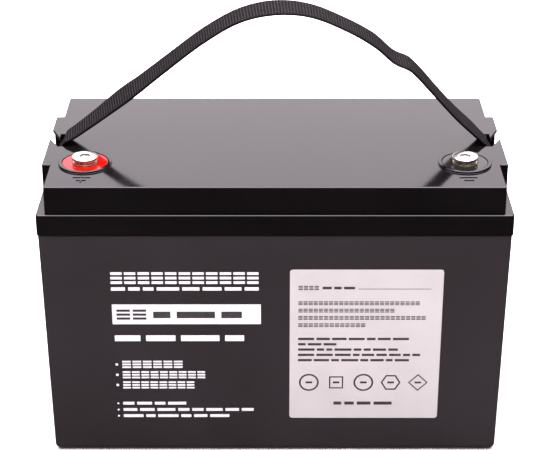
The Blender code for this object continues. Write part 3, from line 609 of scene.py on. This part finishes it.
def ring_section(inner, outer, low, high, soft):
    """Profile of a flat ring with softened edges."""
    return [*arc(outer - soft, high - soft, soft, 90, 0, 3),
            *arc(outer - soft, low + soft, soft, 0, -90, 3),
            *arc(inner + soft, low + soft, soft, 270, 180, 3),
            *arc(inner + soft, high - soft, soft, 180, 90, 3)]


def build_disc(label, centre):
    low, high = box_mm(f"terminal_disc_{label}")
    outer = (high[0] - low[0]) / 2
    profile = ring_section(BORE_RADIUS, outer, low[2], high[2], 0.3)
    gloss = RED_GLOSS if label == "positive" else BLACK_GLOSS
    slot = "red_plastic" if label == "positive" else "black_plastic"
    disc = revolve(f"collar_disc_{label}", profile, centre, gloss, 96, True)
    finish_piece(even_normals(disc), "root", slot, f"terminal_disc_{label}")


def build_flat_washer(label, centre):
    low, high = box_mm(f"flat_washer_{label}")
    profile = ring_section(4.4, (high[0] - low[0]) / 2, low[2] - 0.15, high[2] + 0.05, 0.15)
    washer = revolve(f"washer_plain_{label}", profile, centre, STEEL, 80, True)
    finish_piece(washer, f"washers_{label}", "steel", f"flat_washer_{label}")


def build_spring_washer(label, centre):
    """A split washer whose two ends stand a little apart in height."""
    low, high = box_mm(f"spring_washer_{label}")
    inner, outer = 4.5, 7.4
    gap_half, steps, climb = 0.09, 72, 0.3
    thick = high[2] - low[2] - 0.05
    section = ring_section(inner, outer, 0, thick, 0.18)
    heading = math.radians(-105)
    rings = []
    for step in range(steps + 1):
        share = step / steps
        angle = heading + gap_half + (2 * math.pi - 2 * gap_half) * share
        base = low[2] - 0.12 + climb * share
        rings.append([(centre[0] + r * math.cos(angle), centre[1] + r * math.sin(angle), base + z)
                      for r, z in section])
    washer = loft(f"washer_spring_{label}", rings, STEEL)
    finish_piece(washer, f"washers_{label}", "steel", f"spring_washer_{label}")


def thread_radius(angle, z, low, high):
    """The shank's radius: a rounded 1.25 mm pitch thread that fades out at both ends."""
    pitch, crest, depth = 1.25, 3.95, 0.62
    phase = (z / pitch - angle / (2 * math.pi)) % 1.0
    groove = abs(2 * phase - 1)
    fade = min(max((z - low) / 1.0, 0), 1) * min(max((high - z) / 1.5, 0), 1)
    return crest - depth * groove * fade - 0.45 * (1 - min(max((z - low) / 1.0, 0), 1))


def build_bolt(label, centre):
    """A round-headed bolt with a hexagon socket and a rolled thread."""
    low, high = box_mm(f"terminal_bolt_{label}")
    head_radius = (high[0] - low[0]) / 2
    head_low = high[2] - 2.0
    head = [(head_radius - 3.5, high[2] - 0.02), (head_radius - 1.5, high[2] - 0.1),
            *arc(head_radius - 0.5, high[2] - 0.7, 0.5, 80, 0, 5),
            *arc(head_radius - 0.3, head_low + 0.3, 0.3, 0, -90, 3), (4.3, head_low)]
    steps = 60
    angles = [2 * math.pi * step / steps for step in range(steps)]
    rings = [[(centre[0] + r * math.cos(a), centre[1] + r * math.sin(a), z) for a in angles]
             for r, z in [(AXIS, high[2]), *head]]
    for z in np.linspace(head_low - 0.1, low[2], 100):
        rings.append([(centre[0] + thread_radius(a, z, low[2], head_low) * math.cos(a),
                       centre[1] + thread_radius(a, z, low[2], head_low) * math.sin(a), z) for a in angles])
    bolt = loft(f"bolt_{label}", rings, STEEL)
    across = SOCKET_ACROSS_FLATS / 2 / math.cos(math.pi / 6)
    turned = 0 if label == "positive" else math.radians(14)
    socket = [(centre[0] + across * math.cos(turned + math.radians(60 * k)),
               centre[1] + across * math.sin(turned + math.radians(60 * k))) for k in range(6)]
    cutter = flared_cutter(f"socket_{label}", socket, high[2] - SOCKET_DEEP, high[2], 0.3)
    combine(bolt, [cutter], "DIFFERENCE")
    finish_piece(even_normals(bolt), f"bolt_{label}", "steel", f"terminal_bolt_{label}")


def build_terminals():
    for label, centre in TERMINAL_CENTRES.items():
        build_disc(label, centre)
        build_flat_washer(label, centre)
        build_spring_washer(label, centre)
        build_bolt(label, centre)


# ------------------------------------------------------------ strap

STRAP_WIDE, STRAP_SLOT_WIDE, STRAP_THICK = 26.8, 22.6, 1.4
STRAP_TAPER_LONG = 48
WEAVE_SHARP = math.radians(60)
# The middle line of the strap: x, z and the tilt of its width in degrees, back edge up.
STRAP_ROUTE = [
    (-153.45, 209, 0), (-153.3, 213, 1), (-151.2, 216.3, 3), (-145, 220.2, 6), (-130, 231.5, 8.5),
    (-115, 243.5, 12.5), (-106, 250.3, 12.5), (-97, 257.1, 10.5), (-75, 274.7, 8), (-50, 293.9, 7),
    (-25, 308.3, 5), (0, 314.0, 4.5), (25, 311.8, 2.5), (50, 301.7, 2), (70, 290.2, 3.5),
    (84, 278.0, 3), (94, 273.3, 3.3), (98, 270.4, 3.5), (105, 263.2, 3.7), (117, 249.5, 3),
    (130, 235.2, 3.5), (142, 223.8, 5), (149.3, 216.6, 3), (152.8, 213, 1), (153.45, 209, 0),
]
RIB_PITCH, RIB_DEPTH, SAMPLES_PER_RIB, SELVEDGE = 2.2, 0.3, 7, 0.9
BAR_X, BAR_Z, BAR_RADIUS, BAR_HALF_Y = 153.5, 205.8, 3.0, 15.0
GROOVE_HALF_Y, GROOVE_SHOULDER_Y, GROOVE_DEEP = 11.8, 12.2, 0.25


def smooth_route(points, steps):
    """Points on a Catmull-Rom curve through the given ones, steps to each stretch."""
    given = np.array(points, float)
    padded = np.vstack([2 * given[0] - given[1], given, 2 * given[-1] - given[-2]])
    route = []
    for a, b, c, d in zip(padded, padded[1:], padded[2:], padded[3:]):
        for t in np.arange(steps) / steps:
            route.append(0.5 * (2 * b + (c - a) * t + (2 * a - 5 * b + 4 * c - d) * t ** 2
                                + (3 * b - a - 3 * c + d) * t ** 3))
    route.append(given[-1])
    return np.array(route)


def even_route(route, spacing):
    """The same line with points an equal distance apart, and how far along it each one lies."""
    gaps = np.hypot(np.diff(route[:, 0]), np.diff(route[:, 1]))
    travelled = np.concatenate([[0], np.cumsum(gaps)])
    count = int(travelled[-1] / spacing)
    wanted = np.linspace(0, travelled[-1], count + 1)
    return np.column_stack([np.interp(wanted, travelled, route[:, k]) for k in range(3)]), wanted


def webbing_section(half_width, thick, count=14):
    """Points round a flat strap's section: across the top, round the edge and back underneath."""
    half = thick / 2
    top = [(v, half) for v in np.linspace(-half_width + half, half_width - half, count)]
    right = [(half_width - half + half * math.cos(a), half * math.sin(a)) for a in np.radians((45, 0, -45))]
    under = [(-v, -half) for v, _ in top]
    left = [(-v, -h) for v, h in right]
    return top + right + under + left


def strap_half_width(x):
    """Half the strap's width: it draws in towards the slots it passes through."""
    share = min(max((SLOT_INNER_X - abs(x)) / STRAP_TAPER_LONG, 0), 1)
    return (STRAP_SLOT_WIDE + (STRAP_WIDE - STRAP_SLOT_WIDE) * math.sin(math.pi / 2 * share)) / 2


def rib(along, across, half_width):
    """How high the weft rib stands there, 0 to 1; the ribs run a little aslant across the strap."""
    slant = 0.35 * across / half_width
    return 0.5 - 0.5 * math.cos(2 * math.pi * (along / RIB_PITCH + slant))


def webbing_piece(name, route, half_width_at, thick):
    """A woven strap along (x, z, tilt) points, with its weave in the mesh and UVs in metres."""
    line, travelled = even_route(route, RIB_PITCH / SAMPLES_PER_RIB)
    slopes = np.gradient(line[:, :2], axis=0)
    rings, coordinates, crests = [], [], []
    for (x, z, tilt), (dx, dz), along in zip(line, slopes, travelled):
        run = np.array((dx, 0, dz)) / math.hypot(dx, dz)
        angle = math.radians(tilt)
        width = np.array((0, math.cos(angle), math.sin(angle)))
        width = width - run * (width @ run)
        width /= np.linalg.norm(width)
        up = np.cross(run, width)
        half_width = half_width_at(x)
        ring = []
        for across, height in webbing_section(half_width, thick):
            crest = rib(along, across, half_width) if abs(across) < half_width - SELVEDGE else 0.3
            side = 1 if height >= 0 else -1
            lift = RIB_DEPTH * (crest - 0.5) * abs(height) / (thick / 2)
            ring.append(np.array((x, 0, z)) + width * across + up * (height + side * lift))
            coordinates.append((along * MM, across * MM))
            crests.append(crest)
        rings.append(ring)
    strap = loft(name, rings, WEBBING, WEAVE_SHARP)
    layer = strap.data.uv_layers.new(name="UVMap")
    for loop in strap.data.loops:
        layer.data[loop.index].uv = coordinates[loop.vertex_index]
    # The crest heights also drive the webbing's painted highlight on the crests and painted shade between
    # the ribs.
    strap.data.attributes.new("crest", "FLOAT", "POINT").data.foreach_set("value", crests)
    return strap, travelled[-1]


def build_strap():
    route = smooth_route(STRAP_ROUTE, 24)
    strap, length = webbing_piece("strap_webbing", route, strap_half_width, STRAP_THICK)
    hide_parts("carry_strap")
    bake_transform(strap)


def build_strap_ends():
    """The webbing's folded end round its bar, in the pocket under the lid plate."""
    turn = BAR_RADIUS + 0.3 + STRAP_THICK / 2
    for label, side in SIDES.items():
        angles = np.radians(np.linspace(20, -200, 40))
        eye = [(side * BAR_X + turn * math.cos(a), BAR_Z + turn * math.sin(a), 0) for a in angles]
        half_tail = STRAP_THICK / 2 + 0.05
        top = LID_TOP - 0.4
        route = [(side * BAR_X + half_tail, top, 0), (side * BAR_X + half_tail, BAR_Z + 5.2, 0), *eye,
                 (side * BAR_X - half_tail, BAR_Z + 5.2, 0), (side * BAR_X - half_tail, top - 2, 0)]
        fold, _ = webbing_piece(f"strap_fold_{label}", np.array(route), lambda x: STRAP_SLOT_WIDE / 2 - 0.2,
                                STRAP_THICK - 0.1)
        finish_piece(fold, "root", "webbing", f"strap_end_{label}")
        waist = BAR_RADIUS - GROOVE_DEEP
        profile = [(AXIS, BAR_HALF_Y), *arc(BAR_RADIUS - 0.6, BAR_HALF_Y - 0.6, 0.6, 90, 0, 4),
                   (BAR_RADIUS, GROOVE_SHOULDER_Y), (waist, GROOVE_HALF_Y), (waist, -GROOVE_HALF_Y),
                   (BAR_RADIUS, -GROOVE_SHOULDER_Y),
                   *arc(BAR_RADIUS - 0.6, -BAR_HALF_Y + 0.6, 0.6, 0, -90, 4), (AXIS, -BAR_HALF_Y)]
        bar = revolve(f"strap_toggle_{label}", profile, (0, 0), BLACK_GLOSS, 40)
        for vert in bar.data.vertices:
            x, y, z = vert.co
            vert.co = (side * BAR_X * MM + x, z, BAR_Z * MM - y)
        finish_piece(bar, "root", "black_plastic", f"strap_bar_{label}")


# ------------------------------------------------------------ label and print

LABEL_LOW, LABEL_HIGH = box_mm("front_label")
INK_THICK = 0.04


class Print:
    """Flat shapes laid on the front wall, each a thin closed plate of its own."""

    def __init__(self, lift):
        self.lift = lift
        self.points, self.faces = [], []

    def plate(self, outline):
        start, count = len(self.points), len(outline)
        for depth in (self.lift, self.lift + INK_THICK):
            self.points += [(x, front_wall_y(x, z) - depth, z) for x, z in outline]
        self.faces.append(tuple(range(start, start + count))[::-1])
        self.faces.append(tuple(range(start + count, start + 2 * count)))
        self.faces += [tuple(start + i for i in face) for face in band_faces(2, count)]

    def bar(self, x0, x1, z0, z1):
        soft = min(0.25, (x1 - x0) / 4, (z1 - z0) / 4)
        self.plate(round_corners(box_outline((x0, z0), (x1, z1)), soft, 2))

    def ring(self, centre, outer, inner, sides, turn, steps):
        """A regular outline of any number of sides, made of short plates side by side."""
        corners = [turn + 2 * math.pi * k / sides for k in range(sides)]
        per_side = max(steps // sides, 1)
        for first, second in zip(corners, corners[1:] + [corners[0] + 2 * math.pi]):
            for k in range(per_side):
                edge = []
                for radius in (outer, inner):
                    ends = np.array([(centre[0] + radius * math.cos(a), centre[1] + radius * math.sin(a))
                                     for a in (first, second)])
                    edge.append([ends[0] + (ends[1] - ends[0]) * (k + t) / per_side for t in (0, 1)])
                (a, b), (d, c) = edge
                self.plate([tuple(a), tuple(b), tuple(c), tuple(d)])

    def words(self, x0, x1, z0, z1, seed):
        """A line of plain bars as long as words, with no letters in it."""
        draw = random.Random(seed)
        high = z1 - z0
        x = x0
        while x < x1 - high:
            wide = high * draw.uniform(1.4, 4.2)
            self.bar(x, min(x + wide, x1), z0 + high * 0.12, z0 + high * 0.78)
            x += wide + high * 0.55

    def tiles(self, x0, x1, z0, z1, count):
        """A line of square tiles, each of three plain bars."""
        pitch = (x1 - x0) / count
        for index in range(count):
            left = x0 + index * pitch
            for row in range(3):
                base = z0 + (z1 - z0) * (0.02 + 0.36 * row)
                self.bar(left, left + pitch * 0.84, base, base + (z1 - z0) * 0.21)

    def make(self, name, material, slot):
        finish_piece(piece(name, self.points, self.faces, material), "root", slot)


def build_label():
    """The sheet label: a thin film on the wall, with round corners."""
    middle = (LABEL_LOW + LABEL_HIGH) / 2
    half = (LABEL_HIGH - LABEL_LOW) / 2
    columns, rows, lift, thick, corner = 48, 56, 0.03, 0.16, 1.8
    points = []
    for depth in (lift, lift + thick):
        for v in np.linspace(-1, 1, rows + 1):
            for u in np.linspace(-1, 1, columns + 1):
                x, z = u * half[0], v * half[2]
                over_x, over_z = abs(x) - (half[0] - corner), abs(z) - (half[2] - corner)
                if over_x > 0 and over_z > 0:
                    reach = max(over_x, over_z) / math.hypot(over_x, over_z)
                    x = math.copysign(half[0] - corner + over_x * reach, x)
                    z = math.copysign(half[2] - corner + over_z * reach, z)
                x, z = middle[0] + x, middle[2] + z
                points.append((x, front_wall_y(x, z) - depth, z))
    count = (columns + 1) * (rows + 1)
    flat = band_faces(rows + 1, columns + 1, False)
    faces = [tuple(face[::-1]) for face in flat] + [tuple(count + i for i in face) for face in flat]
    width = columns + 1
    rim = ([*range(columns)] + [columns + width * row for row in range(rows)]
           + [count - 1 - k for k in range(columns)] + [width * row for row in range(rows, 0, -1)])
    for first, second in zip(rim, rim[1:] + rim[:1]):
        faces.append((first, second, count + second, count + first))
    finish_piece(piece("label_sheet", points, faces, LABEL), "root", "label_paper", "front_label")


def build_label_print():
    """Generic marks in place of the label's text: lines of blocks, dots and plain outlines."""
    mark = Print(0.2)
    left, right = LABEL_LOW[0] + 6, LABEL_HIGH[0] - 9
    mark.tiles(left, left + 15, 134.8, 138.4, 4)
    mark.words(left + 17, left + 41, 135.1, 138.2, 4)
    dots = 34
    for index in range(dots):
        x = left + 43 + (right - left - 43) * index / (dots - 1)
        mark.bar(x - 0.4, x + 0.4, 135.3, 136.1)
    for row, reach in enumerate((0.93, 0.74, 0.98, 0.52)):
        top = 125.9 - 5.95 * row
        mark.tiles(left, left + (right - left) * reach, top - 3.2, top, int(26 * reach))
    for row, reach in enumerate((0.90, 0.30, 0.78, 0.98, 0.86)):
        top = 96.7 - 4.4 * row
        mark.words(left, left + (right - left) * reach, top - 2.9, top, 20 + row)
    outlines = [(32, 0.0), (4, math.pi / 4), (32, 0.0), (6, 0.0), (4, 0.0)]
    pitch = (right - left - 14) / (len(outlines) - 1)
    for index, (sides, turn) in enumerate(outlines):
        centre = (left + 8 + pitch * index, 58.8)
        mark.ring(centre, 7.2, 5.9, sides, turn, 64)
        mark.bar(centre[0] - 2.4, centre[0] + 2.4, 58.0, 59.6)
    mark.words(left + 26, left + 74, 39.4, 43.4, 31)
    mark.make("label_print", INK_DARK, "label_paper")


def build_case_print():
    """Generic marks in place of the print on the left half of the front."""
    white, dark = Print(0.01), Print(0.06)
    left, right = -115.3, -10.0
    white.tiles(left, right, 139.5, 149.5, 11)
    white.words(left, right, 133.9, 137.9, 41)
    white.bar(left, right, 107.2, 123.2)
    dark.tiles(left + 3, left + 26, 110.7, 119.6, 2)
    dark.words(left + 29, right - 4, 111.1, 119.2, 43)
    white.words(left + 1, right - 1, 92.4, 99.6, 44)
    for row, (z, reach) in enumerate(((77.2, 50), (68.5, 66), (59.9, 58))):
        white.bar(left + 0.6, left + 2.4, z - 4.2, z - 2.4)
        white.tiles(left + 5.4, left + reach, z - 6.4, z, int((reach - 5) / 6.6))
    for row, (z, reach) in enumerate(((43.0, 52), (37.6, 101), (32.3, 87))):
        white.bar(left + 0.6, left + 1.9, z - 2.7, z - 1.4)
        white.words(left + 4.8, left + reach, z - 3.6, z, 60 + row)
    white.make("case_print", INK_WHITE, "label_paper")
    dark.make("case_print_reversed", INK_DARK, "case_plastic")


# ------------------------------------------------------------ carried-over nodes

def dress_carried_nodes():
    """Gives every CAD node that still shows the material of its slot."""
    slots = {row["node"]: row["material_slot"] for row in frame["record"]["subparts"]}
    for name, node in frame["nodes"].items():
        if node.hide_render:
            continue
        node.data.materials.clear()
        node.data.materials.append(CARRIED_MATERIALS[slots[name]])


# ------------------------------------------------------------ camera, floor and light

def build_camera():
    camera = bpy.data.objects.new("camera", bpy.data.cameras.new("camera"))
    bpy.context.scene.collection.objects.link(camera)
    camera.location = (0, -1.1012, 0.6742)
    camera.rotation_euler = (math.radians(90 - 25.68), 0, 0)
    camera.data.lens = 107.05
    camera.data.sensor_width = 36
    bpy.context.scene.camera = camera


def build_floor():
    bpy.ops.mesh.primitive_plane_add(size=60, location=(0, 0, 0))
    floor = bpy.context.object
    floor.name = "floor"
    paint = Shader("floor_paint", (0.86, 0.86, 0.86), 0.8)
    floor.data.materials.append(paint.material)
    floor.visible_glossy = False


def soft_light(name, place, target, size, power):
    light = bpy.data.lights.new(name, "AREA")
    light.shape = "RECTANGLE"
    light.size, light.size_y = size
    light.energy = power
    made = bpy.data.objects.new(name, light)
    bpy.context.scene.collection.objects.link(made)
    made.location = place
    made.rotation_euler = (Vector(target) - Vector(place)).to_track_quat("-Z", "Y").to_euler()
    return made


def build_world():
    """A bright wall behind and a bright ceiling, dark to the front and the sides."""
    world = bpy.data.worlds.new("studio")
    bpy.context.scene.world = world
    world.use_nodes = True
    tree = world.node_tree
    background = tree.nodes["Background"]
    place = tree.nodes.new("ShaderNodeTexCoord").outputs["Generated"]
    parts = tree.nodes.new("ShaderNodeSeparateXYZ")
    tree.links.new(place, parts.inputs["Vector"])

    def ramp(source, low, high, start, end):
        node = tree.nodes.new("ShaderNodeMapRange")
        node.interpolation_type = "SMOOTHSTEP"
        for label, value in zip(("From Min", "From Max", "To Min", "To Max"), (low, high, start, end)):
            node.inputs[label].default_value = value
        tree.links.new(source, node.inputs["Value"])
        return node.outputs["Result"]

    def calculate(operation, *sources):
        node = tree.nodes.new("ShaderNodeMath")
        node.operation = operation
        for source, socket in zip(sources, node.inputs):
            tree.links.new(source, socket)
        return node.outputs["Value"]

    behind = ramp(parts.outputs["Y"], -0.35, 0.1, 0.02, 2.2)
    horizon = ramp(parts.outputs["Z"], 0.1, 0.3, 0.05, 1.0)
    overhead = ramp(parts.outputs["Z"], 0.66, 0.88, 0.0, 7.0)
    beside = ramp(calculate("ABSOLUTE", parts.outputs["X"]), 0.35, 0.8, 1.0, 0.12)
    wall = calculate("MULTIPLY", calculate("MULTIPLY", behind, beside), horizon)
    strength = calculate("ADD", wall, overhead)
    tree.links.new(strength, background.inputs["Strength"])
    background.inputs["Color"].default_value = (1.0, 0.91, 0.98, 1)


def build_stage():
    build_camera()
    build_floor()
    build_world()
    front = soft_light("front_soft", (-1.0, -1.95, 0.75), (0, 0, 0.1), (1.8, 1.2), 12)
    front.data.color = (1, 0.97, 0.955)
    front.visible_glossy = False
    bpy.context.scene.view_settings.view_transform = "Standard"


build_stage()
build_case()
build_lid()
build_polarity_marks()
build_terminals()
build_strap()
build_strap_ends()
build_label()
build_label_print()
build_case_print()
dress_carried_nodes()
